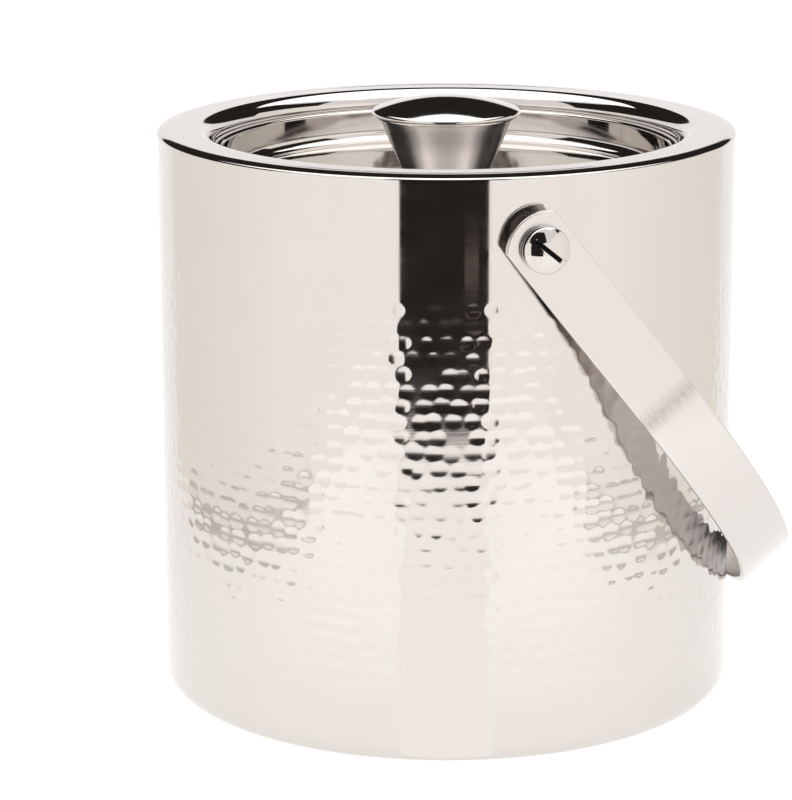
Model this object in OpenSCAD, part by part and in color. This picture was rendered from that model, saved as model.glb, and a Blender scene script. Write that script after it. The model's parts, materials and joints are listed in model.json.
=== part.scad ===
// Double-wall hammered steel ice bucket with a recessed lid and a swinging bail handle.
// Origin: centre of the base, on the bucket's axis. +Z up. The handle's pivots lie along Y.

/* [Bucket] */
// Outside diameter of the bucket
bucket_d = 190; // [170:1:210]
// Height of the rim above the surface it stands on
rim_z = 188; // [170:1:210]
// Thickness of every steel sheet
sheet_t = 0.8; // [0.6:0.1:1.2]
// Radius of the rolled bottom corner
corner_r = 5.8; // [4:0.2:8]
// Inside diameter of the ice well
well_d = 149.2; // [144:0.2:150]
// Height of the well's floor
well_floor_z = 12; // [9:1:20]
// Radius between the well's wall and its floor
well_corner_r = 12; // [8:1:20]

/* [Rim] */
// Inside diameter of the throat above the lid's ledge
throat_d = 153.6; // [152:0.2:156]
// Depth of the lid's flange below the rim
lid_depth = 6; // [5.8:0.1:7]
// Radius where the rim's flat turns down into the throat
throat_fillet_r = 5.4; // [3:0.2:5.6]
// Width of the sloping band round the rim's outer edge
crown_w = 1.9; // [1:0.1:3]
// Slope of that band
crown_angle = 15.5; // [8:0.5:20]
// Distance of the fine line round the rim from its outer edge
line_in = 6.2; // [5:0.1:8]
// Height of the turned-down bead below the rim's flat
bead_h = 2.1; // [2.1:0.1:3]
// Radius on the bead's top edge
bead_r = 0.9; // [0.9:0.1:1.2]

/* [Lid] */
// Outside diameter of the lid's flange
lid_d = 152.6; // [151:0.2:152.8]
// Diameter inside the wall of the lid's dish
dish_d = 146.4; // [140:0.2:146.4]
// Depth of the dish's floor below the rim
dish_depth = 17; // [14:0.5:20]

/* [Knob] */
// Diameter of the knob at its widest
knob_d = 49; // [44:1:56]
// Height of the knob's widest line above the rim
knob_rise = 4.4; // [2:0.2:8]
// Height of the domed top above the knob's widest line
dome_h = 5.5; // [4:0.1:7]
// Diameter of the knob where it stands on the lid
knob_foot_d = 27.2; // [24:0.4:32]
// Diameter of the knob under its flared edge
knob_neck_d = 42; // [36:1:42]

/* [Handle] */
// Width of the handle's strap
strap_w = 20; // [18:1:24]
// Thickness of the handle's strap
strap_t = 2; // [1.5:0.1:2.5]
// Gap between the shell and the strap at the pivots
strap_gap = 5; // [4.8:0.1:6]
// Straight length of each arm, from the pivot to where the bend starts
arm_len = 66; // [62:1:74]
// Depth of the pivots below the rim
pivot_depth = 21.5; // [20:0.5:30]
// Distance from the pivot to the tip of the strap's tail
tail_len = 11.2; // [10.8:0.1:12]
// Radius of the strap's tail
tail_r = 13.6; // [12:0.1:16]

/* [Pivot screws] */
// Diameter of the dome head
head_d = 14.5; // [13:0.5:16]
// Height of the head's straight edge
head_edge = 2; // [1.5:0.1:2.5]
// Height of the head's dome
head_dome = 2.6; // [2:0.1:3]
// Width of the screwdriver slot
slot_w = 1.5; // [1:0.1:2]
// Diameter of the shoulder that the handle turns on
shoulder_d = 8; // [7:0.5:8]
// Diameter of the threaded end
thread_d = 6; // [5:0.5:6]
// Angle of the front screw's slot below the horizontal
front_slot_angle = 39; // [0:1:90]
// Angle of the back screw's slot below the horizontal
back_slot_angle = -22; // [-90:1:90]

/* [Hidden] */
// Steps in a quarter turn of every profile's bends
bend_steps = 6;
bucket_r = bucket_d / 2;
well_r = well_d / 2;
throat_r = throat_d / 2;
knob_r = knob_d / 2;
dish_r = dish_d / 2;
// Small radii of the sheets' bends: in a corner and over an edge
small_r = 0.5;
edge_r = sheet_t + 0.1;
// Half the width, and the depth, of the fine line round the rim
line_half = 0.4;
line_depth = 0.1;
// The shell's top flange and bottom lip
shell_z = rim_z - bead_h - 0.1;
shell_flange_r = bucket_r - 5;
lip_r = bucket_r - 15;
// Running clearances
rest_gap = 0.3;
side_gap = 0.25;
turn_gap = 0.05;
// Lid levels: the top of the flange, the ledge that it rests over, and the dish's floor
flange_z = rim_z - lid_depth;
ledge_z = flange_z - sheet_t - rest_gap;
dish_z = rim_z - dish_depth;
knob_z = rim_z + knob_rise;
curl_r = 1.2;
// Handle: distances from the bucket's axis along the pivots, and the angle at which it rests
pivot_z = rim_z - pivot_depth;
strap_in = bucket_r + strap_gap;
strap_out = strap_in + strap_t;
bail_in = arm_len + strap_in;
rest_reach = norm([bail_in, strap_w / 2]);
rest_angle = acos((bucket_r + rest_gap) / rest_reach) - atan(strap_w / 2 / bail_in);
// Bush in each eye of the strap
bush_wall = 1;
bush_flange = 1;
bush_flange_d = 14;
bush_d = shoulder_d + 2 * turn_gap + 2 * bush_wall;
// Stack of parts along each pivot screw
spacer_d = 12;
washer_in = strap_out + side_gap;
head_washer_t = 0.7;
head_in = washer_in + head_washer_t;
pad_d = 28;
pad_flat = bucket_r - 4;
nut_washer_t = 1;
nut_washer_d = 12;
nut_t = 5.5;
nut_flats = 10;
thread_end = pad_flat - nut_washer_t - nut_t - 0.7;
// Knob fixing
insert_d = 12;
insert_h = 12;
knob_thread_d = 5;
knob_washer_d = 14;
knob_washer_t = 1;
knob_head_d = 9.5;
knob_head_h = 3;
seat_z = dish_z - sheet_t;

$fn = 96;

// Points of an arc about a centre, from one angle to another
function arc(centre, r, from, to, steps = bend_steps) =
    [for (i = [0:steps]) let (a = from + (to - from) * i / steps) centre + r * [cos(a), sin(a)]];

// Direction across a step of a path, to its left
function across(a, b) = let (d = (b - a) / norm(b - a)) [-d[1], d[0]];

// Offset of a path's corner that keeps both of its sheets at full thickness
function corner_offset(p, i) =
    let (last = len(p) - 1,
         before = across(p[i == 0 ? 0 : i - 1], p[i == 0 ? 1 : i]),
         after = across(p[i == last ? last - 1 : i], p[i == last ? last : i + 1]))
    (before + after) / (1 + before * after);

// Closed outline of a sheet that follows a path and has its thickness on the path's left
function sheet(p, t) =
    concat(p, [for (i = [len(p) - 1:-1:0]) let (q = p[i] + t * corner_offset(p, i)) [max(q[0], 0), q[1]]]);

module spun(path, t = sheet_t) {
    rotate_extrude($fn = 180) polygon(sheet(path, t));
}

// Cylinder along the front pivot's axis between two distances from the bucket's axis
module pivot_rod(d, near, far) {
    translate([0, -near, pivot_z]) rotate([90, 0, 0]) cylinder(d = d, h = far - near);
}

// Anything made for the front pivot, turned half round for the back one
module at_back() {
    rotate([0, 0, 180]) children();
}

module outer_shell() {
    path = concat(
        [[shell_flange_r, shell_z], [bucket_r, shell_z]],
        arc([bucket_r - corner_r, corner_r], corner_r, 0, -90),
        [[lip_r, 0]]);
    color([0.85, 0.83, 0.80]) difference() {
        spun(path, -sheet_t);
        pivot_rod(thread_d + 0.4, bucket_r - 8, bucket_r + 2);
        at_back() pivot_rod(thread_d + 0.4, bucket_r - 8, bucket_r + 2);
    }
}

module base_plate() {
    path = [[0, 0], [lip_r - 2, 0], [lip_r - 0.8, sheet_t], [lip_r + 6, sheet_t]];
    color([0.72, 0.71, 0.69]) spun(path);
}

module inner_liner() {
    bead_z = rim_z - crown_w * tan(crown_angle) - bead_r * cos(crown_angle);
    flat_r = bucket_r - bead_r + bead_r * sin(crown_angle) - crown_w;
    line_r = bucket_r - line_in;
    path = concat(
        [[bucket_r, rim_z - bead_h]],
        arc([bucket_r - bead_r, bead_z], bead_r, 0, 90 - crown_angle),
        [[flat_r, rim_z], [line_r + line_half, rim_z], [line_r, rim_z - line_depth], [line_r - line_half, rim_z]],
        arc([throat_r + throat_fillet_r, rim_z - throat_fillet_r], throat_fillet_r, 90, 180),
        arc([throat_r - small_r, ledge_z + small_r], small_r, 0, -90),
        arc([well_r + edge_r, ledge_z - edge_r], edge_r, 90, 180),
        arc([well_r - well_corner_r, well_floor_z + well_corner_r], well_corner_r, 0, -90),
        [[0, well_floor_z]]);
    color([0.88, 0.87, 0.85]) spun(path);
}

// Pad between the shell's inside and the nut, curved on one side and flat on the other
module backing_pad() {
    color([0.6, 0.6, 0.6]) difference() {
        intersection() {
            pivot_rod(pad_d, pad_flat, bucket_r);
            translate([0, 0, pivot_z - pad_d]) cylinder(r = bucket_r - sheet_t, h = 2 * pad_d, $fn = 180);
        }
        pivot_rod(thread_d + 0.4, pad_flat - 2, bucket_r + 2);
    }
}

module pivot_spacer() {
    color([0.78, 0.77, 0.75]) difference() {
        pivot_rod(spacer_d, bucket_r, strap_in - bush_flange - side_gap);
        pivot_rod(shoulder_d + 0.2, bucket_r - 2, strap_out);
    }
}

module pivot_screw(slot_angle) {
    head_out = head_in + head_edge;
    dome_r = (head_d * head_d / 4 + head_dome * head_dome) / (2 * head_dome);
    slot_floor = head_out + 1.1;
    color([0.86, 0.85, 0.83]) difference() {
        union() {
            pivot_rod(thread_d, thread_end, bucket_r + 1);
            pivot_rod(shoulder_d, bucket_r, head_in + 1);
            pivot_rod(head_d, head_in, head_out);
            intersection() {
                pivot_rod(head_d, head_out, head_out + head_dome + 1);
                translate([0, -(head_out + head_dome - dome_r), pivot_z]) rotate([90, 0, 0]) sphere(r = dome_r);
            }
        }
        translate([0, -slot_floor - 5, pivot_z]) rotate([0, slot_angle, 0]) cube([head_d + 2, 10, slot_w], center = true);
    }
}

module head_washer() {
    color([0.8, 0.79, 0.77]) difference() {
        pivot_rod(head_d, washer_in, head_in);
        pivot_rod(shoulder_d, washer_in - 1, head_in + 1);
    }
}

module nut_washer() {
    color([0.65, 0.65, 0.66]) difference() {
        pivot_rod(nut_washer_d, pad_flat - nut_washer_t, pad_flat);
        pivot_rod(thread_d + 0.4, pad_flat - nut_washer_t - 1, pad_flat + 1);
    }
}

module lock_nut() {
    nut_out = pad_flat - nut_washer_t;
    collar_h = 1.5;
    color([0.6, 0.6, 0.62]) difference() {
        union() {
            translate([0, -nut_out, pivot_z]) rotate([-90, 0, 0])
                cylinder(d = nut_flats / cos(30), h = nut_t - collar_h, $fn = 6);
            pivot_rod(nut_flats - 0.6, nut_out - nut_t, nut_out - 1);
        }
        pivot_rod(thread_d, nut_out - nut_t - 1, nut_out + 1);
    }
}

// Frame of the handle: X runs along the arms from the pivots, Z across the strap's width
module handle_frame() {
    translate([0, 0, pivot_z]) rotate([0, rest_angle, 0]) children();
}

// Plan of the bail on the handle's own plane, out to a given distance from its middle
module bail_plan(half_width, tail) {
    translate([-tail, -half_width]) square([arm_len + tail, 2 * half_width]);
    translate([arm_len, 0]) circle(r = half_width, $fn = 180);
}

module handle_strap() {
    color([0.82, 0.81, 0.79]) handle_frame() difference() {
        intersection() {
            linear_extrude(strap_w, center = true) difference() {
                bail_plan(strap_out, tail_len + 1);
                bail_plan(strap_in, tail_len + 3);
            }
            rotate([90, 0, 0]) linear_extrude(2 * strap_out + 2, center = true) union() {
                translate([tail_r - tail_len, 0]) circle(r = tail_r);
                translate([tail_r - tail_len, -strap_w]) square([bail_in + 20, 2 * strap_w]);
            }
        }
        rotate([90, 0, 0]) cylinder(d = bush_d, h = 2 * strap_out + 2, center = true);
    }
}

module pivot_bush() {
    color([0.93, 0.92, 0.88]) difference() {
        union() {
            pivot_rod(bush_d, strap_in, strap_out);
            pivot_rod(bush_flange_d, strap_in - bush_flange, strap_in);
        }
        pivot_rod(shoulder_d + 2 * turn_gap, strap_in - 3, strap_out + 1);
    }
}

module lid_pan() {
    lid_r = lid_d / 2;
    bend_r = 1;
    floor_bend_r = 4;
    path = concat(
        [[lid_r, flange_z]],
        arc([dish_r + bend_r, flange_z - bend_r], bend_r, 90, 180),
        arc([dish_r - floor_bend_r, dish_z + floor_bend_r], floor_bend_r, 0, -90),
        [[knob_thread_d / 2 + 0.2, dish_z]]);
    color([0.87, 0.86, 0.84]) spun(path);
}

// Cone that carries the cap, cut off flat where the cap's flange sits on it
module knob_body() {
    foot_r = knob_foot_d / 2;
    neck_r = knob_neck_d / 2;
    top_r = knob_r - 2.1;
    top_z = knob_z - curl_r;
    lean = (top_r - neck_r) / (4 - curl_r);
    path = [[knob_thread_d / 2 + 0.2, dish_z], [foot_r, dish_z], [neck_r, knob_z - 4], [top_r + lean, top_z + 1]];
    color([0.84, 0.82, 0.79]) difference() {
        spun(path);
        translate([0, 0, top_z]) cylinder(r = knob_r + 2, h = 4);
    }
}

// Domed cap: part of a sphere that runs smoothly into the curled edge
module knob_cap() {
    curl_at = knob_r - curl_r;
    dome_r = (curl_at * curl_at + dome_h * dome_h - curl_r * curl_r) / (2 * (dome_h - curl_r));
    dome_edge = atan2(dome_r - dome_h, curl_at);
    dome = arc([0, knob_z + dome_h - dome_r], dome_r, dome_edge, 90, 12);
    path = concat(
        [[knob_r - 3, knob_z - curl_r]],
        arc([curl_at, knob_z], curl_r, -90, dome_edge, 12),
        [for (i = [1:12]) dome[i]]);
    color([0.88, 0.87, 0.85]) spun(path);
}

module knob_insert() {
    color([0.7, 0.7, 0.68]) translate([0, 0, dish_z + sheet_t]) difference() {
        cylinder(d = insert_d, h = insert_h);
        translate([0, 0, -1]) cylinder(d = knob_thread_d, h = insert_h + 2);
    }
}

module knob_screw() {
    head_z = seat_z - knob_washer_t;
    color([0.75, 0.74, 0.73]) difference() {
        union() {
            translate([0, 0, head_z - 1]) cylinder(d = knob_thread_d, h = insert_h + 2);
            translate([0, 0, head_z - knob_head_h + 1]) cylinder(d = knob_head_d, h = knob_head_h - 1);
            translate([0, 0, head_z - knob_head_h]) cylinder(d1 = knob_head_d - 2, d2 = knob_head_d, h = 1);
        }
        translate([0, 0, head_z - knob_head_h]) cube([knob_head_d + 2, 1.2, 2.6], center = true);
    }
}

module knob_washer() {
    color([0.72, 0.72, 0.72]) translate([0, 0, seat_z - knob_washer_t]) difference() {
        cylinder(d = knob_washer_d, h = knob_washer_t);
        translate([0, 0, -1]) cylinder(d = knob_thread_d + 0.4, h = knob_washer_t + 2);
    }
}

outer_shell();
base_plate();
inner_liner();
backing_pad();  // backing_pad_front
at_back() backing_pad();  // backing_pad_back
pivot_spacer();  // pivot_spacer_front
at_back() pivot_spacer();  // pivot_spacer_back
pivot_screw(front_slot_angle);  // pivot_screw_front
at_back() pivot_screw(back_slot_angle);  // pivot_screw_back
head_washer();  // head_washer_front
at_back() head_washer();  // head_washer_back
nut_washer();  // nut_washer_front
at_back() nut_washer();  // nut_washer_back
lock_nut();  // lock_nut_front
at_back() lock_nut();  // lock_nut_back
handle_strap();
pivot_bush();  // pivot_bush_front
at_back() pivot_bush();  // pivot_bush_back
lid_pan();
knob_body();
knob_cap();
knob_insert();
knob_screw();
knob_washer();
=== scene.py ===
import json
import math

import bmesh
import bpy
import numpy as np
from mathutils import Matrix, Vector


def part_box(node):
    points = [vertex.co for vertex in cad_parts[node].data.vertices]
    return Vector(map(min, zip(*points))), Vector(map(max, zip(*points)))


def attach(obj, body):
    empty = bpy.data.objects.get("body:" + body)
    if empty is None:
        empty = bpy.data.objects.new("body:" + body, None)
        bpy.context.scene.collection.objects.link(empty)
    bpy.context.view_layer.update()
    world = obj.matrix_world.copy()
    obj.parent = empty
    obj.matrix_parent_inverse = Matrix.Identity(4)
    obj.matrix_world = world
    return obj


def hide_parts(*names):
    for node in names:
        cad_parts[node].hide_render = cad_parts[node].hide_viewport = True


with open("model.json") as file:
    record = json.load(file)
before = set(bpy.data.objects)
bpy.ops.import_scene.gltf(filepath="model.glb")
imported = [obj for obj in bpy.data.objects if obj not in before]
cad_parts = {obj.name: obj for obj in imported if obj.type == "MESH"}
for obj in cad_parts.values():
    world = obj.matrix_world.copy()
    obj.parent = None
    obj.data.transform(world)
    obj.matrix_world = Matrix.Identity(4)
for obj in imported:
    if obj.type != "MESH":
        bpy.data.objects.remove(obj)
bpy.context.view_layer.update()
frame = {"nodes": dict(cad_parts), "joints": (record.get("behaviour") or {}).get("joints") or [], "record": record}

MM = 0.001

# ---------------------------------------------------------------- sizes, from the frame where it can

SHELL_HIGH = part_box("outer_shell")[1]
LINER_LOW, LINER_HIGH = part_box("inner_liner")
LID_LOW, LID_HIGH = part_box("lid_pan")
KNOB_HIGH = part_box("knob_cap")[1]
SHEET = 0.8 * MM
BUCKET_R = 95.0 * MM
RIM_Z = LINER_HIGH.z
SHELL_TOP_Z = SHELL_HIGH.z
CORNER_R = 5.8 * MM
THROAT_R = 76.8 * MM
THROAT_FILLET_R = 5.4 * MM
BEAD_R = 0.9 * MM
BEAD_H = RIM_Z - SHELL_TOP_Z  # down to the shell, where CAD leaves a gap of 0.1 mm
CROWN_W = 1.9 * MM
CROWN_ANGLE = 15.5
LINE_R = BUCKET_R - 6.2 * MM
LINE_HALF = 0.4 * MM
LINE_DEPTH = 0.1 * MM
WELL_R = 74.6 * MM
WELL_CORNER_R = 12.0 * MM
LEDGE_Z = LID_HIGH.z - SHEET - 0.3 * MM
DISH_Z = LID_LOW.z + SHEET
DISH_R = 73.2 * MM
LID_R = 76.3 * MM
KNOB_R = 24.5 * MM
DOME_H = 5.5 * MM
KNOB_Z = KNOB_HIGH.z - DOME_H
KNOB_CURL_R = 1.2 * MM

HANDLE_JOINT = next(j for j in frame["joints"] if j["name"] == "handle_swing")
PIVOT_Z = HANDLE_JOINT["pos_m"][2]
REST_ANGLE = math.radians(HANDLE_JOINT["range_deg"][1] - 180) / 2
STRAP_W = 20.0 * MM
STRAP_T = 2.0 * MM
STRAP_IN = 100.0 * MM
STRAP_MIDDLE = STRAP_IN + STRAP_T / 2
ARM_LEN = 66.0 * MM
TAIL_LEN = 11.2 * MM
TAIL_R = 13.6 * MM
EYE_R = 5.05 * MM

# ---------------------------------------------------------------- camera

CAMERA_AZIMUTH = math.radians(-16.0)
CAMERA_BACK = 1.0651
CAMERA_SIDE = -0.0167
CAMERA_HEIGHT = 0.3642
CAMERA_PITCH = math.radians(14.19)
CAMERA_ROLL = -0.0025
CAMERA_LENS = 147.24


def camera_frame():
    """Turns the directions seen by the camera (X right, Y away from it) into the row frame."""
    return Matrix.Rotation(CAMERA_AZIMUTH, 4, "Z")


def make_camera():
    data = bpy.data.cameras.new("camera")
    data.lens = CAMERA_LENS
    data.sensor_width = 36.0
    data.clip_start = 0.05
    data.clip_end = 30.0
    camera = bpy.data.objects.new("camera", data)
    bpy.context.scene.collection.objects.link(camera)
    place = Matrix.Translation((CAMERA_SIDE, -CAMERA_BACK, CAMERA_HEIGHT))
    tilt = Matrix.Rotation(math.radians(90) - CAMERA_PITCH, 4, "X")
    roll = Matrix.Rotation(CAMERA_ROLL, 4, "Z")
    camera.matrix_world = camera_frame() @ place @ tilt @ roll
    bpy.context.scene.camera = camera


make_camera()

# ---------------------------------------------------------------- profiles


def arc(r, z, radius, start, end, steps=12):
    """Points of a bend about the centre (r, z), from one angle to another in degrees."""
    turns = np.radians(np.linspace(start, end, steps + 1))
    return [(r + radius * math.cos(a), z + radius * math.sin(a)) for a in turns]


def sheet(path, thickness):
    """Closed outline of a sheet that follows path, with its thickness on the path's left."""
    p = np.array(path, float)
    step = np.diff(p, axis=0)
    step /= np.linalg.norm(step, axis=1)[:, None]
    left = np.stack([-step[:, 1], step[:, 0]], axis=1)
    before = np.vstack([left[:1], left])
    after = np.vstack([left, left[-1:]])
    offset = (before + after) / (1 + (before * after).sum(axis=1))[:, None]
    back = p + thickness * offset
    back[:, 0] = back[:, 0].clip(0)
    return [tuple(q) for q in p] + [tuple(q) for q in back[::-1]]


SHARP = math.cos(math.radians(32))


def profile_normals(p):
    """Normals at the start and the end of each step of a closed outline that runs anticlockwise."""
    step = np.roll(p, -1, axis=0) - p
    length = np.linalg.norm(step, axis=1)
    across = np.stack([step[:, 1], -step[:, 0]], axis=1) / length[:, None]
    before, before_length = np.roll(across, 1, axis=0), np.roll(length, 1)
    smooth = (across * before).sum(axis=1) > SHARP
    mixed = across * length[:, None] + before * before_length[:, None]
    mixed /= np.linalg.norm(mixed, axis=1)[:, None]
    start = np.where(smooth[:, None], mixed, across)
    after_smooth, after_mixed = np.roll(smooth, -1), np.roll(mixed, -1, axis=0)
    end = np.where(after_smooth[:, None], after_mixed, across)
    return start, end


def revolve(name, outline, columns=288, dents=None):
    """A solid of revolution about Z. dents maps a profile point to its radial offsets and normals, one of
    each per column."""
    p = np.array(outline, float)
    area = (p[:, 0] * np.roll(p[:, 1], -1) - np.roll(p[:, 0], -1) * p[:, 1]).sum()
    if area < 0:
        p = p[::-1].copy()
    keep = np.linalg.norm(p - np.roll(p, -1, axis=0), axis=1) > 1e-7
    p = p[keep]
    start, end = profile_normals(p)
    turn = np.arange(columns) * 2 * math.pi / columns
    out = np.stack([np.cos(turn), np.sin(turn), np.zeros(columns)], axis=1)
    up = np.array([0.0, 0.0, 1.0])
    on_axis = p[:, 0] < 1e-7
    count = np.where(on_axis, 1, columns)
    first = np.concatenate([[0], np.cumsum(count)[:-1]])
    verts, ring_start, ring_end = [], [], []
    dents = dents or {}
    for k, (r, z) in enumerate(p):
        reach = np.full(columns, r)
        normals = None
        dent = dents.get((round(r, 7), round(z, 7)))
        if dent is not None:
            reach, normals = reach + dent[0], dent[1]
        loop = out * reach[:, None] + up * z
        verts.append(loop[:1] if on_axis[k] else loop)
        for side, profile in ((ring_start, start), (ring_end, end)):
            n = profile[k] if side is ring_start else profile[k - 1]
            side.append(normals if normals is not None else out * n[0] + up * n[1])
    faces, loop_normals = [], []
    here = np.arange(columns)
    there = np.roll(here, -1)
    for k in range(len(p)):
        m = (k + 1) % len(p)
        a, b = ring_start[k], ring_end[m]
        if on_axis[k] and on_axis[m]:
            continue
        if on_axis[k]:
            faces += [(first[k], first[m] + t, first[m] + h) for h, t in zip(here, there)]
            loop_normals.append(np.stack([a, b[there], b], axis=1).reshape(-1, 3))
        elif on_axis[m]:
            faces += [(first[k] + h, first[k] + t, first[m]) for h, t in zip(here, there)]
            loop_normals.append(np.stack([a, a[there], b], axis=1).reshape(-1, 3))
        else:
            quads = [first[k] + here, first[k] + there, first[m] + there, first[m] + here]
            faces += np.stack(quads, axis=1).tolist()
            loop_normals.append(np.stack([a, a[there], b[there], b], axis=1).reshape(-1, 3))
    mesh = bpy.data.meshes.new(name)
    mesh.from_pydata(np.vstack(verts), [], [tuple(int(v) for v in f) for f in faces])
    mesh.shade_smooth()
    mesh.normals_split_custom_set(np.vstack(loop_normals))
    return link(name, mesh)


def link(name, mesh):
    piece = bpy.data.objects.new(name, mesh)
    bpy.context.scene.collection.objects.link(piece)
    return piece


# ---------------------------------------------------------------- hammered wall

HAMMER_TOP_Z = 154.0 * MM
HAMMER_BOTTOM_Z = 20.0 * MM
HAMMER_COLUMNS = 880
HAMMER_ROWS = 190
FINE = 2
ROW_PITCH = 4.95 * MM
MARK_PITCH = 5.6 * MM
MARK_SOFTNESS = 0.28 * MM


def hammer_marks(rng):
    """Rows of hammer marks round the wall: angle, height, half width, half height and depth of each."""
    marks = []
    around = round(2 * math.pi * BUCKET_R / MARK_PITCH)
    rows = int((HAMMER_TOP_Z - HAMMER_BOTTOM_Z - MARK_PITCH) / ROW_PITCH) + 1
    for row in range(rows):
        row_z = HAMMER_TOP_Z - MARK_PITCH / 2 - row * ROW_PITCH + rng.uniform(-0.35, 0.35) * MM
        phase = rng.uniform(0, 1)
        wave_turns, wave_phase = rng.integers(2, 6), rng.uniform(0, 2 * math.pi)
        chance = (0.14, 0.45, 0.8)[row] if row < 3 else 0.96
        for i in range(around):
            if rng.uniform() > chance:
                continue
            angle = (i + phase + rng.normal(0, 0.16)) * 2 * math.pi / around
            wave = 0.3 * MM * math.sin(wave_turns * angle + wave_phase)
            marks.append((
                angle % (2 * math.pi),
                row_z + wave + rng.normal(0, 0.33) * MM,
                rng.uniform(2.4, 3.3) * MM,
                rng.uniform(2.1, 2.8) * MM,
                rng.uniform(0.06, 0.14) * MM,
            ))
    return marks


def blur(field, axis, cells, wrap):
    """Gaussian blur of a height field along one axis."""
    reach = max(1, int(3 * cells))
    weights = np.exp(-0.5 * (np.arange(-reach, reach + 1) / cells) ** 2)
    weights /= weights.sum()
    pad = [(0, 0), (0, 0)]
    pad[axis] = (reach, reach)
    padded = np.pad(field, pad, mode="wrap" if wrap else "edge")
    total = np.zeros_like(field)
    for i, w in enumerate(weights):
        total += w * np.take(padded, range(i, i + field.shape[axis]), axis=axis)
    return total


def hammered_surface():
    """Heights of the wall's rows, and for each row its radial offsets and normals."""
    columns, rows = HAMMER_COLUMNS * FINE, HAMMER_ROWS * FINE + 1
    turn = np.arange(columns) * 2 * math.pi / columns
    z = np.linspace(HAMMER_BOTTOM_Z, HAMMER_TOP_Z, rows)
    dz, dturn = z[1] - z[0], 2 * math.pi / columns
    field = np.zeros((rows, columns))
    for angle, mark_z, half_w, half_h, depth in hammer_marks(np.random.default_rng(11)):
        half_turn = half_w / BUCKET_R
        near = np.arange(int((angle - half_turn) / dturn), int((angle + half_turn) / dturn) + 2)
        low = max(0, int((mark_z - half_h - z[0]) / dz))
        high = min(rows, int((mark_z + half_h - z[0]) / dz) + 2)
        x = (near * dturn - angle) * BUCKET_R / half_w
        y = (z[low:high] - mark_z) / half_h
        bowl = -depth * (1 - x[None, :] ** 2 - y[:, None] ** 2).clip(0)
        patch = np.ix_(np.arange(low, high), near % columns)
        field[patch] = np.minimum(field[patch], bowl)
    field = blur(field, 0, MARK_SOFTNESS / dz, wrap=False)
    field = blur(field, 1, MARK_SOFTNESS / (dturn * BUCKET_R), wrap=True)
    edge = np.minimum(z - z[0], z[-1] - z) / (1.5 * MM)
    field *= edge.clip(0, 1)[:, None]
    slope_z = np.gradient(field, dz, axis=0)
    slope_turn = (np.roll(field, -1, axis=1) - np.roll(field, 1, axis=1)) / (2 * dturn * BUCKET_R)
    field, slope_z, slope_turn = (a[::FINE, ::FINE] for a in (field, slope_z, slope_turn))
    turn, z = turn[::FINE], z[::FINE]
    out = np.stack([np.cos(turn), np.sin(turn), np.zeros_like(turn)], axis=1)
    along = np.stack([-np.sin(turn), np.cos(turn), np.zeros_like(turn)], axis=1)
    up = np.array([0.0, 0.0, 1.0])
    normals = out[None] - slope_turn[..., None] * along[None] - slope_z[..., None] * up
    normals /= np.linalg.norm(normals, axis=2)[..., None]
    return z, field, normals


def make_outer_shell():
    flange, lip = 5 * MM, 15 * MM
    z, field, normals = hammered_surface()
    top = [(BUCKET_R - flange, SHELL_TOP_Z), (BUCKET_R, SHELL_TOP_Z)]
    wall = [(BUCKET_R, h) for h in z[::-1]]
    bottom = arc(BUCKET_R - CORNER_R, CORNER_R, CORNER_R, 0, -90) + [(BUCKET_R - lip, 0)]
    inside = sheet(top + [(BUCKET_R, HAMMER_TOP_Z)] + bottom, -SHEET)[len(top) + 1 + len(bottom):]
    dents = {(round(BUCKET_R, 7), round(h, 7)): (field[i], normals[i]) for i, h in enumerate(z)}
    return revolve("hammered_shell", top + wall + bottom + inside, HAMMER_COLUMNS, dents)


# ---------------------------------------------------------------- liner, lid and knob


def make_liner():
    fillet, small, edge = THROAT_FILLET_R, 0.5 * MM, 0.9 * MM
    slope = math.radians(CROWN_ANGLE)
    bead_z = RIM_Z - CROWN_W * math.tan(slope) - BEAD_R * math.cos(slope)
    flat_r = BUCKET_R - BEAD_R + BEAD_R * math.sin(slope) - CROWN_W
    path = (
        [(BUCKET_R, RIM_Z - BEAD_H)]
        + arc(BUCKET_R - BEAD_R, bead_z, BEAD_R, 0, 90 - CROWN_ANGLE, 20)
        + [(flat_r, RIM_Z), (LINE_R + LINE_HALF, RIM_Z)]
        + [(LINE_R, RIM_Z - LINE_DEPTH), (LINE_R - LINE_HALF, RIM_Z)]
        + arc(THROAT_R + fillet, RIM_Z - fillet, fillet, 90, 180, 30)
        + arc(THROAT_R - small, LEDGE_Z + small, small, 0, -90, 6)
        + arc(WELL_R + edge, LEDGE_Z - edge, edge, 90, 180, 6)
        + arc(WELL_R - WELL_CORNER_R, LINER_LOW.z + SHEET + WELL_CORNER_R, WELL_CORNER_R, 0, -90, 20)
        + [(0, LINER_LOW.z + SHEET)]
    )
    return revolve("rim_and_liner", sheet(path, SHEET), 360)


def make_lid_pan():
    bend, floor_bend = 1.0 * MM, 4.0 * MM
    path = (
        [(LID_R, LID_HIGH.z)]
        + arc(DISH_R + bend, LID_HIGH.z - bend, bend, 90, 180)
        + arc(DISH_R - floor_bend, DISH_Z + floor_bend, floor_bend, 0, -90, 20)
        + [(2.7 * MM, DISH_Z)]
    )
    return revolve("lid_dish", sheet(path, SHEET), 360)


def make_knob_body():
    foot, neck, top = 13.6 * MM, 21.0 * MM, 22.4 * MM
    path = [(2.7 * MM, DISH_Z), (foot - 0.4 * MM, DISH_Z), (foot, DISH_Z + 0.5 * MM),
            (neck, KNOB_Z - 4 * MM), (top, KNOB_Z - KNOB_CURL_R)]
    cone = sheet(path, SHEET)
    cone[len(path)] = (top - 0.89 * MM, KNOB_Z - KNOB_CURL_R)
    return revolve("knob_cone", cone, 192)


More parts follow.
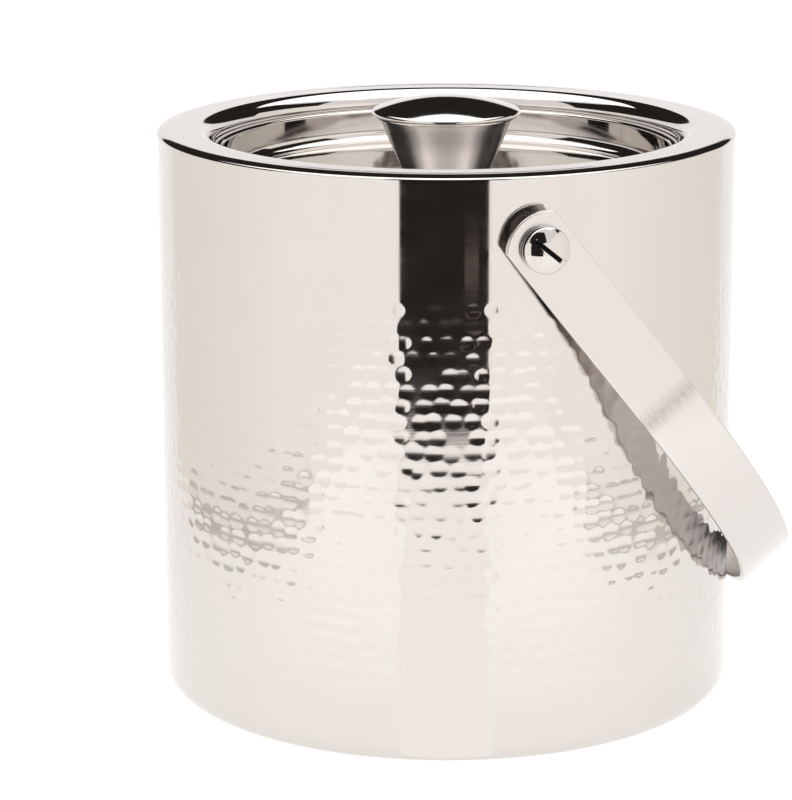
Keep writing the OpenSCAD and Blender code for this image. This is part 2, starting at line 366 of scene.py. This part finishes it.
def make_knob_cap():
    curl_at = KNOB_R - KNOB_CURL_R
    dome_r = (curl_at ** 2 + DOME_H ** 2 - KNOB_CURL_R ** 2) / (2 * (DOME_H - KNOB_CURL_R))
    edge = math.degrees(math.atan2(dome_r - DOME_H, curl_at))
    dome = arc(0, KNOB_HIGH.z - dome_r, dome_r, edge, 90, 40)
    dome[-1] = (0.0, KNOB_HIGH.z)
    path = (
        [(KNOB_R - 3 * MM, KNOB_Z - KNOB_CURL_R)]
        + arc(curl_at, KNOB_Z, KNOB_CURL_R, -90, edge, 20)
        + dome[1:]
    )
    return revolve("knob_dome", sheet(path, SHEET), 192)


# ---------------------------------------------------------------- handle


def bent(u, v, w):
    """Place of a point of the flat strap once it is bent into the bail: u along it from the front pivot,
    v across it and w out from its middle."""
    reach = STRAP_MIDDLE + w
    turn = (u - ARM_LEN) / STRAP_MIDDLE
    if turn <= 0:
        return Vector((u, -reach, v))
    if turn >= math.pi:
        return Vector((2 * ARM_LEN + STRAP_MIDDLE * math.pi - u, reach, v))
    return Vector((ARM_LEN + reach * math.sin(turn), -reach * math.cos(turn), v))


def make_strap():
    length = 2 * ARM_LEN + math.pi * STRAP_MIDDLE
    half = STRAP_W / 2
    across = np.linspace(-half, half, 21)
    tail = TAIL_R - TAIL_LEN - np.sqrt(TAIL_R ** 2 - across ** 2)
    straight_from = 8 * MM
    sections = [t * tail + (1 - t) * straight_from for t in np.linspace(1, 0, 13)]
    sections += [np.full_like(across, u) for u in np.linspace(straight_from, ARM_LEN, 24)[1:]]
    sections += [np.full_like(across, ARM_LEN + math.pi * STRAP_MIDDLE * i / 180) for i in range(1, 90)]
    sections += [np.full_like(across, length / 2)] + [length - s for s in sections[::-1]]
    bm = bmesh.new()
    sides = []
    for w in (-STRAP_T / 2, STRAP_T / 2):
        sides.append([[bm.verts.new((s[j], v, w)) for j, v in enumerate(across)] for s in sections])
    inner, outer = sides
    edges = []
    for i in range(len(sections) - 1):
        for j in range(len(across) - 1):
            bm.faces.new((outer[i][j], outer[i + 1][j], outer[i + 1][j + 1], outer[i][j + 1]))
            bm.faces.new((inner[i][j], inner[i][j + 1], inner[i + 1][j + 1], inner[i + 1][j]))
        for j, flip in ((0, False), (len(across) - 1, True)):
            wall = (inner[i][j], inner[i + 1][j], outer[i + 1][j], outer[i][j])
            bm.faces.new(wall[::-1] if flip else wall)
            edges += [(inner[i][j], inner[i + 1][j]), (outer[i][j], outer[i + 1][j])]
    for i, flip in ((0, True), (len(sections) - 1, False)):
        for j in range(len(across) - 1):
            wall = (inner[i][j], inner[i][j + 1], outer[i][j + 1], outer[i][j])
            bm.faces.new(wall[::-1] if flip else wall)
            edges += [(inner[i][j], inner[i][j + 1]), (outer[i][j], outer[i][j + 1])]
        edges += [(inner[i][j], outer[i][j]) for j in (0, len(across) - 1)]
    bmesh.ops.recalc_face_normals(bm, faces=bm.faces)
    bevel_edges = [bm.edges.get(pair) for pair in edges]
    bmesh.ops.bevel(bm, geom=bevel_edges, offset=0.5 * MM, segments=4, profile=0.5, affect="EDGES",
                    clamp_overlap=True)
    for vert in bm.verts:
        vert.co = bent(*vert.co)
    bmesh.ops.recalc_face_normals(bm, faces=bm.faces)
    mesh = bpy.data.meshes.new("bail_strap")
    bm.to_mesh(mesh)
    bm.free()
    strap = link("bail_strap", mesh)
    reach = 0.12
    hole = revolve("hole", [(0, -reach), (EYE_R, -reach), (EYE_R, reach), (0, reach)], 64)
    hole.matrix_world = Matrix.Rotation(math.radians(90), 4, "X")
    cut(strap, hole)
    strap.data.transform(Matrix.Translation((0, 0, PIVOT_Z)) @ Matrix.Rotation(REST_ANGLE, 4, "Y"))
    strap.data.shade_smooth()
    weigh = strap.modifiers.new("even_faces", "WEIGHTED_NORMAL")
    weigh.keep_sharp = True
    weigh.weight = 60
    return strap


def cut(piece, cutter):
    """Takes the cutter out of the piece for good, and removes the cutter."""
    cutter.data.materials.clear()
    boolean = piece.modifiers.new("cut", "BOOLEAN")
    boolean.operation = "DIFFERENCE"
    boolean.solver = "EXACT"
    boolean.object = cutter
    bpy.context.view_layer.update()
    evaluated = piece.evaluated_get(bpy.context.evaluated_depsgraph_get())
    mesh = bpy.data.meshes.new_from_object(evaluated)
    piece.modifiers.clear()
    piece.data = mesh
    bpy.data.objects.remove(cutter)


# ---------------------------------------------------------------- pivot hardware

HEAD_R = 7.25 * MM
HEAD_IN = 102.95 * MM
HEAD_EDGE = 2.0 * MM
HEAD_DOME = 2.6 * MM
HEAD_OUT = HEAD_IN + HEAD_EDGE
HEAD_DOME_R = (HEAD_R ** 2 + HEAD_DOME ** 2) / (2 * HEAD_DOME)
SHOULDER_R = 4.0 * MM
WASHER_IN = 102.25 * MM
SPACER_BORE_R = 4.1 * MM
SPACER_R = 6.0 * MM
SPACER_OUT = 98.75 * MM


def along_pivot(piece, back, twist=0.0):
    """Turns a piece made along +Z, with Z as the distance from the bucket's axis, onto a pivot's axis."""
    lay = Matrix.Rotation(math.radians(90), 4, "X") @ Matrix.Rotation(twist, 4, "Z")
    turn = Matrix.Rotation(math.pi if back else 0, 4, "Z")
    piece.data.transform(turn @ Matrix.Translation((0, 0, PIVOT_Z)) @ lay)
    return piece


def soft_ring(name, inner, outer, low, high, edge=0.15 * MM):
    """A washer or tube with slightly rounded outer edges."""
    outline = (
        [(inner, low)] + arc(outer - edge, low + edge, edge, -90, 0, 4)
        + arc(outer - edge, high - edge, edge, 0, 90, 4) + [(inner, high)]
    )
    return revolve(name, outline, 96)


def make_screw(name, slot_angle, back):
    thread_r, thread_end, chamfer = 3.0 * MM, 83.8 * MM, 0.5 * MM
    rim = 0.25 * MM
    slot_w, slot_floor, cutter_l, cutter_h = 1.5 * MM, HEAD_OUT + 1.1 * MM, 20 * MM, 10 * MM
    dome_span = math.degrees(math.asin(HEAD_R / HEAD_DOME_R))
    dome = arc(0, HEAD_OUT + HEAD_DOME - HEAD_DOME_R, HEAD_DOME_R, 90 - dome_span + 1.2, 90, 24)
    dome[-1] = (0.0, HEAD_OUT + HEAD_DOME)
    outline = (
        [(0, thread_end), (thread_r - chamfer, thread_end), (thread_r, thread_end + chamfer),
         (thread_r, BUCKET_R), (SHOULDER_R, BUCKET_R), (SHOULDER_R, HEAD_IN)]
        + arc(HEAD_R - rim, HEAD_IN + rim, rim, -90, 0, 4)
        + [(HEAD_R, HEAD_OUT - rim * 0.6)]
        + dome
    )
    screw = revolve(name, outline, 128)
    slot = bpy.data.meshes.new("slot")
    bm = bmesh.new()
    bmesh.ops.create_cube(bm, size=1.0)
    bmesh.ops.scale(bm, vec=(cutter_l, slot_w, cutter_h), verts=bm.verts)
    bmesh.ops.translate(bm, vec=(0, 0, slot_floor + cutter_h / 2), verts=bm.verts)
    bm.to_mesh(slot)
    bm.free()
    cut(screw, link("slot", slot))
    screw.data.set_sharp_from_angle(angle=math.radians(28))
    soften = screw.modifiers.new("edges", "BEVEL")
    soften.width = 0.1 * MM
    soften.segments = 2
    soften.limit_method = "ANGLE"
    soften.angle_limit = math.radians(50)
    return along_pivot(screw, back, slot_angle)


# ---------------------------------------------------------------- materials


def tree(name):
    """A new material with its node tree and its shader."""
    material = bpy.data.materials.new(name)
    material.use_nodes = True
    nodes = material.node_tree.nodes
    return material, nodes, material.node_tree.links, nodes["Principled BSDF"]


def noise(nodes, links, stretch, detail=2.0, rough=0.5, turn=0.0):
    """Noise whose cells are as long as stretch says along X, Y and Z, in metres, in the row frame
    turned about Y."""
    place = nodes.new("ShaderNodeTexCoord")
    turned = nodes.new("ShaderNodeMapping")
    turned.inputs["Rotation"].default_value = (0, -turn, 0)
    links.new(place.outputs["Object"], turned.inputs["Vector"])
    scale = nodes.new("ShaderNodeMapping")
    scale.inputs["Scale"].default_value = [1 / s for s in stretch]
    links.new(turned.outputs["Vector"], scale.inputs["Vector"])
    texture = nodes.new("ShaderNodeTexNoise")
    texture.inputs["Scale"].default_value = 1.0
    texture.inputs["Detail"].default_value = detail
    texture.inputs["Roughness"].default_value = rough
    links.new(scale.outputs["Vector"], texture.inputs["Vector"])
    return texture.outputs["Fac"]


def spread(nodes, links, value, low, high, out_low, out_high):
    """Maps a value's range onto another."""
    ramp = nodes.new("ShaderNodeMapRange")
    ramp.inputs["From Min"].default_value = low
    ramp.inputs["From Max"].default_value = high
    ramp.inputs["To Min"].default_value = out_low
    ramp.inputs["To Max"].default_value = out_high
    links.new(value, ramp.inputs["Value"])
    return ramp.outputs["Result"]


def bump(nodes, links, height, distance):
    node = nodes.new("ShaderNodeBump")
    node.inputs["Distance"].default_value = distance
    links.new(height, node.inputs["Height"])
    return node.outputs["Normal"]


def mix_colour(nodes, links, value, a, b):
    node = nodes.new("ShaderNodeMix")
    node.data_type = "RGBA"
    node.inputs["A"].default_value = (*a, 1)
    node.inputs["B"].default_value = (*b, 1)
    links.new(value, node.inputs["Factor"])
    return node.outputs["Result"]


def steel(name, tint, grain, grain_depth, roughness, uneven=0.02, anisotropy=0.0, tangent=None,
          turned=0.0, turn=0.0):
    """Steel with polishing lines stretched as grain says, and a slightly uneven polish."""
    material, nodes, links, shader = tree(name)
    shader.inputs["Metallic"].default_value = 1.0
    cloud = noise(nodes, links, (0.03, 0.03, 0.03), 3.0)
    darker = tuple(0.965 * c for c in tint)
    links.new(mix_colour(nodes, links, cloud, darker, tint), shader.inputs["Base Color"])
    lines = noise(nodes, links, grain, 3.0, 0.6, turn)
    patches = noise(nodes, links, (0.012, 0.012, 0.006), 4.0)
    links.new(spread(nodes, links, patches, 0.3, 0.7, roughness - uneven, roughness + uneven),
              shader.inputs["Roughness"])
    links.new(bump(nodes, links, lines, grain_depth), shader.inputs["Normal"])
    if anisotropy:
        shader.inputs["Anisotropic"].default_value = anisotropy
        shader.inputs["Anisotropic Rotation"].default_value = turned
        direction = nodes.new("ShaderNodeTangent")
        direction.direction_type = "RADIAL"
        direction.axis = tangent
        links.new(direction.outputs["Tangent"], shader.inputs["Tangent"])
    return material


def product(nodes, links, a, b):
    node = nodes.new("ShaderNodeMath")
    node.operation = "MULTIPLY"
    links.new(a, node.inputs[0])
    links.new(b, node.inputs[1])
    return node.outputs[0]


def position(nodes, links, direction):
    """How far a point is along a direction of the row frame."""
    point = nodes.new("ShaderNodeTexCoord")
    along = nodes.new("ShaderNodeVectorMath")
    along.operation = "DOT_PRODUCT"
    along.inputs[1].default_value = direction
    links.new(point.outputs["Object"], along.inputs[0])
    return along.outputs["Value"]


def paint_shade(material, mask, share):
    """Paints shade into a steel's colour: darkens it to a share of it where the mask is 1."""
    nodes, links = material.node_tree.nodes, material.node_tree.links
    colour = nodes["Principled BSDF"].inputs["Base Color"]
    shade = nodes.new("ShaderNodeVectorMath")
    shade.operation = "SCALE"
    links.new(colour.links[0].from_socket, shade.inputs[0])
    links.new(spread(nodes, links, mask, 0, 1, 1, share), shade.inputs["Scale"])
    links.new(shade.outputs[0], colour)


def painted_bend_reflection(material):
    """A painted darker reflection where each arm of the strap runs into the bend, broken into streaks along the
    strap.
    """
    nodes, links = material.node_tree.nodes, material.node_tree.links
    direction = (math.cos(REST_ANGLE), 0, -math.sin(REST_ANGLE))
    pivot = -PIVOT_Z * math.sin(REST_ANGLE)
    u = position(nodes, links, direction)
    rise = spread(nodes, links, u, pivot + 61 * MM, pivot + 66 * MM, 0, 1)
    fall = spread(nodes, links, u, pivot + 66 * MM, pivot + 71 * MM, 1, 0)
    streaks = noise(nodes, links, (0.006, 0.006, 0.0004), 3.0, 0.6, REST_ANGLE)
    streaks = spread(nodes, links, streaks, 0.3, 0.6, 0.1, 1)
    paint_shade(material, product(nodes, links, product(nodes, links, rise, fall), streaks), 0.66)


def dull_cone_and_painted_reflection(material):
    """A duller polish on the knob's cone than on its cap, and a painted dark reflection on its upper band, under
    the cap.
    """
    nodes, links = material.node_tree.nodes, material.node_tree.links
    roughness = nodes["Principled BSDF"].inputs["Roughness"]
    z = position(nodes, links, (0, 0, 1))
    below = spread(nodes, links, z, KNOB_Z - KNOB_CURL_R - 0.3 * MM, KNOB_Z - KNOB_CURL_R, 1, 0)
    duller = nodes.new("ShaderNodeMath")
    duller.operation = "MULTIPLY_ADD"
    duller.inputs[1].default_value = 0.16
    links.new(below, duller.inputs[0])
    links.new(roughness.links[0].from_socket, duller.inputs[2])
    links.new(duller.outputs[0], roughness)
    # painted dark reflection on the cone's upper band
    band = spread(nodes, links, z, KNOB_Z - 12 * MM, KNOB_Z - 7 * MM, 0, 1)
    paint_shade(material, product(nodes, links, band, below), 0.72)


def painted_slot_shade(material):
    """Paints shade into a screw's slot: darkens what lies below the dome of the head, nearly to black."""
    nodes, links = material.node_tree.nodes, material.node_tree.links
    point = nodes.new("ShaderNodeTexCoord")
    mirrored = nodes.new("ShaderNodeVectorMath")
    mirrored.operation = "ABSOLUTE"
    links.new(point.outputs["Object"], mirrored.inputs[0])
    reach = nodes.new("ShaderNodeVectorMath")
    reach.operation = "DISTANCE"
    reach.inputs[1].default_value = (0, HEAD_OUT + HEAD_DOME - HEAD_DOME_R, PIVOT_Z)
    links.new(mirrored.outputs[0], reach.inputs[0])
    parts = nodes.new("ShaderNodeSeparateXYZ")
    links.new(mirrored.outputs[0], parts.inputs[0])
    inside, skin = HEAD_DOME_R - 0.25 * MM, HEAD_DOME_R - 0.1 * MM
    deep = spread(nodes, links, reach.outputs["Value"], inside, skin, 1, 0)
    high = HEAD_OUT + 0.8 * MM
    outer = spread(nodes, links, parts.outputs["Y"], high, high + 0.1 * MM, 0, 1)
    paint_shade(material, product(nodes, links, deep, outer), 0.01)


def plastic(name, colour, darker):
    material, nodes, links, shader = tree(name)
    cloud = noise(nodes, links, (0.004, 0.004, 0.004), 3.0)
    links.new(mix_colour(nodes, links, cloud, darker, colour), shader.inputs["Base Color"])
    grain = noise(nodes, links, (0.0004, 0.0004, 0.0004), 2.0)
    links.new(spread(nodes, links, cloud, 0.3, 0.7, 0.38, 0.5), shader.inputs["Roughness"])
    links.new(bump(nodes, links, grain, 0.00003), shader.inputs["Normal"])
    return material


WARM = (0.63, 0.60, 0.575)
AROUND = (0.05, 0.05, 0.0006)
MATERIALS = {
    "hammered_steel": steel("hammered_steel", WARM, AROUND, 0.000006, 0.075, 0.02, 0.75, "Z", 0.25),
    "polished_steel": steel("polished_steel", WARM, AROUND, 0.000001, 0.05, 0.015),
    "knob_steel": steel("knob_steel", (0.62, 0.59, 0.565), (0.02, 0.02, 0.0006), 0.000001, 0.06, 0.015),
    "satin_steel": steel("satin_steel", (0.63, 0.60, 0.58), (0.03, 0.03, 0.0005), 0.000005, 0.2, 0.04,
                         turn=REST_ANGLE),
    "screw_steel": steel("screw_steel", (0.62, 0.59, 0.565), (0.004, 0.004, 0.004), 0.000002, 0.06, 0.02),
    "plain_steel": steel("plain_steel", (0.48, 0.47, 0.46), (0.02, 0.001, 0.001), 0.000005, 0.32, 0.06),
    "zinc_steel": steel("zinc_steel", (0.46, 0.47, 0.48), (0.002, 0.002, 0.002), 0.000006, 0.36, 0.08),
    "nylon": plastic("nylon", (0.83, 0.81, 0.74), (0.76, 0.73, 0.65)),
}
# painted shade in the screws' slots
painted_slot_shade(MATERIALS["screw_steel"])
# painted darker reflection where the strap's arms run into the bend
painted_bend_reflection(MATERIALS["satin_steel"])
# duller polish on the knob's cone, and a painted dark reflection on its upper band
dull_cone_and_painted_reflection(MATERIALS["knob_steel"])


def dress(piece, material):
    piece.data.materials.clear()
    piece.data.materials.append(MATERIALS[material])


# ---------------------------------------------------------------- the object


def place(piece, body, slot, node):
    """Puts a finished piece on its body, in place of the CAD node that it stands for."""
    dress(piece, slot)
    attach(piece, body)
    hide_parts(node)


place(make_outer_shell(), "bucket", "hammered_steel", "outer_shell")
place(make_liner(), "bucket", "polished_steel", "inner_liner")
place(make_lid_pan(), "lid", "polished_steel", "lid_pan")
place(make_knob_body(), "lid", "knob_steel", "knob_body")
place(make_knob_cap(), "lid", "knob_steel", "knob_cap")
place(make_strap(), "handle", "satin_steel", "handle_strap")
for end, back, slot_angle in (("front", False, math.radians(-39)), ("back", True, math.radians(22))):
    screw = make_screw(f"dome_screw_{end}", slot_angle, back)
    place(screw, "bucket", "screw_steel", f"pivot_screw_{end}")
    washer = soft_ring(f"washer_{end}", SHOULDER_R, HEAD_R, WASHER_IN, HEAD_IN)
    place(along_pivot(washer, back), "bucket", "screw_steel", f"head_washer_{end}")
    spacer = soft_ring(f"spacer_{end}", SPACER_BORE_R, SPACER_R, BUCKET_R, SPACER_OUT)
    place(along_pivot(spacer, back), "bucket", "screw_steel", f"pivot_spacer_{end}")

SLOTS = {s["node"]: s["material_slot"] for s in frame["record"]["subparts"]}
for name, node in frame["nodes"].items():
    dress(node, SLOTS[name])

# ---------------------------------------------------------------- studio


def fade(nodes, links, start, end, first, last):
    """A value that goes from first to last along the line between two points of the camera's frame."""
    start, end = (camera_frame() @ Vector((*p, 0)) for p in (start, end))
    along = (end - start) / (end - start).length_squared
    here = start.dot(along)
    return spread(nodes, links, position(nodes, links, along), here, here + 1, first, last)


def glow(name, colour, strength, fade_line=None, far_colour=None):
    """A card's light, of one colour or going from one to another along a line."""
    material = bpy.data.materials.new(name)
    material.use_nodes = True
    nodes, links = material.node_tree.nodes, material.node_tree.links
    nodes.clear()
    light = nodes.new("ShaderNodeEmission")
    light.inputs["Color"].default_value = (*colour, 1)
    light.inputs["Strength"].default_value = strength
    if fade_line:
        share = fade(nodes, links, *fade_line, 0, 1)
        links.new(mix_colour(nodes, links, share, colour, far_colour), light.inputs["Color"])
    output = nodes.new("ShaderNodeOutputMaterial")
    links.new(light.outputs["Emission"], output.inputs["Surface"])
    return material


def card(name, corners, material, seen=False):
    """A flat card of the studio, with its corners in the camera's frame."""
    mesh = bpy.data.meshes.new(name)
    mesh.from_pydata([camera_frame() @ Vector(c) for c in corners], [], [tuple(range(len(corners)))])
    piece = link(name, mesh)
    piece.data.materials.append(material)
    piece.visible_camera = seen
    piece.visible_shadow = seen
    return piece


def upright(name, start, end, low, high, material):
    """An upright card that stands over the line from start to end."""
    return card(name, [(*start, low), (*end, low), (*end, high), (*start, high)], material)


def floor_material():
    material, nodes, links, shader = tree("studio_floor")
    shader.inputs["Base Color"].default_value = (0.25, 0.25, 0.25, 1)
    shader.inputs["Roughness"].default_value = 0.7
    shader.inputs["Specular IOR Level"].default_value = 0.1
    shader.inputs["Emission Color"].default_value = (1, 0.99, 0.98, 1)
    # painted light on the floor's glow: brighter in front of the bucket, fading darker under and behind it, and a
    # little brighter close round its axis
    light = fade(nodes, links, (0, -0.25), (0, 0.1), 1.13, 0.86)
    point = nodes.new("ShaderNodeTexCoord")
    reach = nodes.new("ShaderNodeVectorMath")
    reach.operation = "LENGTH"
    links.new(point.outputs["Object"], reach.inputs[0])
    near = spread(nodes, links, reach.outputs["Value"], 0.1, 0.3, 1.03, 1)
    links.new(product(nodes, links, light, near), shader.inputs["Emission Strength"])
    return material


def ring(name, radius, low, high, start, end, material, count=12):
    """Upright cards round a part of a circle, between two angles from +X, seen under two elevations."""
    step = (end - start) / count
    for i in range(count):
        turns = [math.radians(start + (i + k) * step) for k in (0, 1)]
        ends = [(radius * math.cos(t), radius * math.sin(t)) for t in turns]
        heights = (KNOB_HIGH.z + radius * math.tan(math.radians(e)) for e in (low, high))
        upright(f"{name}_{i}", ends[0], ends[1], *heights, material)


def make_studio():
    black = glow("studio_black", (0.022, 0.019, 0.017), 1.0)
    near_beige = glow("studio_near_beige", (1.34, 1.30, 1.25), 1.0)
    beige_fade = ((0, -0.2), (0, 0.12))
    side_beige = glow("studio_side_beige", (1.32, 1.28, 1.23), 1.0, beige_fade, (1.10, 1.05, 0.99))
    foot = glow("studio_panel_foot", (0.72, 0.66, 0.60), 1.0)
    dusk = glow("studio_dusk", (0.20, 0.16, 0.14), 1.0)
    white = glow("studio_white", (1.0, 0.99, 0.98), 2.2)
    table_front = -0.49
    far = 4.0
    card("floor", [(-far, table_front, 0), (far, table_front, 0), (far, far, 0), (-far, far, 0)],
         floor_material(), seen=True)
    # the aisle card is a painted shadow on the floor: a strip a little dimmer than the floor, running from the
    # bucket to the table's front edge, seen only in reflections
    aisle = glow("studio_aisle", (1.39, 1.345, 1.315), 1.0)
    on_floor, aisle_back = 0.0003, -0.094
    card("aisle", [(-0.0157, aisle_back, on_floor), (0.0137, aisle_back, on_floor),
                   (0.124, table_front, on_floor), (-0.152, table_front, on_floor)], aisle)
    upright("flag", (-0.24, -0.56), (0.24, -0.56), -0.6, 0.75, black)
    upright("dusk", (0.055, -0.555), (0.104, -0.555), 0.056, 0.068, dusk)
    for name, side, gap, top in (("left", -1, 0.152, 0.26), ("right", 1, 0.124, 0.34)):
        wall, before_wall = side * 0.283, side * 0.282
        corner = (wall, -0.40)
        upright(f"front_panel_{name}", (side * gap, -0.495), corner, 0.0, 0.29, near_beige)
        upright(f"side_panel_{name}", corner, (wall, 0.19), 0.0, top, side_beige)
        upright(f"panel_foot_{name}", (before_wall, -0.25), (before_wall, 0.1), 0.0, 0.010, foot)
    ring("ceiling_back", 1.5, 12.5, 44, -18, 198, black)
    half, front, back, height = 0.85, -0.6, 1.05, 1.25
    card("softbox", [(-half, front, height), (half, front, height), (half, back, height),
                     (-half, back, height)], white)
    world = bpy.data.worlds.new("studio_world")
    world.use_nodes = True
    background = world.node_tree.nodes["Background"]
    background.inputs["Color"].default_value = (1, 0.975, 0.975, 1)
    background.inputs["Strength"].default_value = 1.06
    bpy.context.scene.world = world


make_studio()
bpy.context.scene.view_settings.view_transform = "Standard"
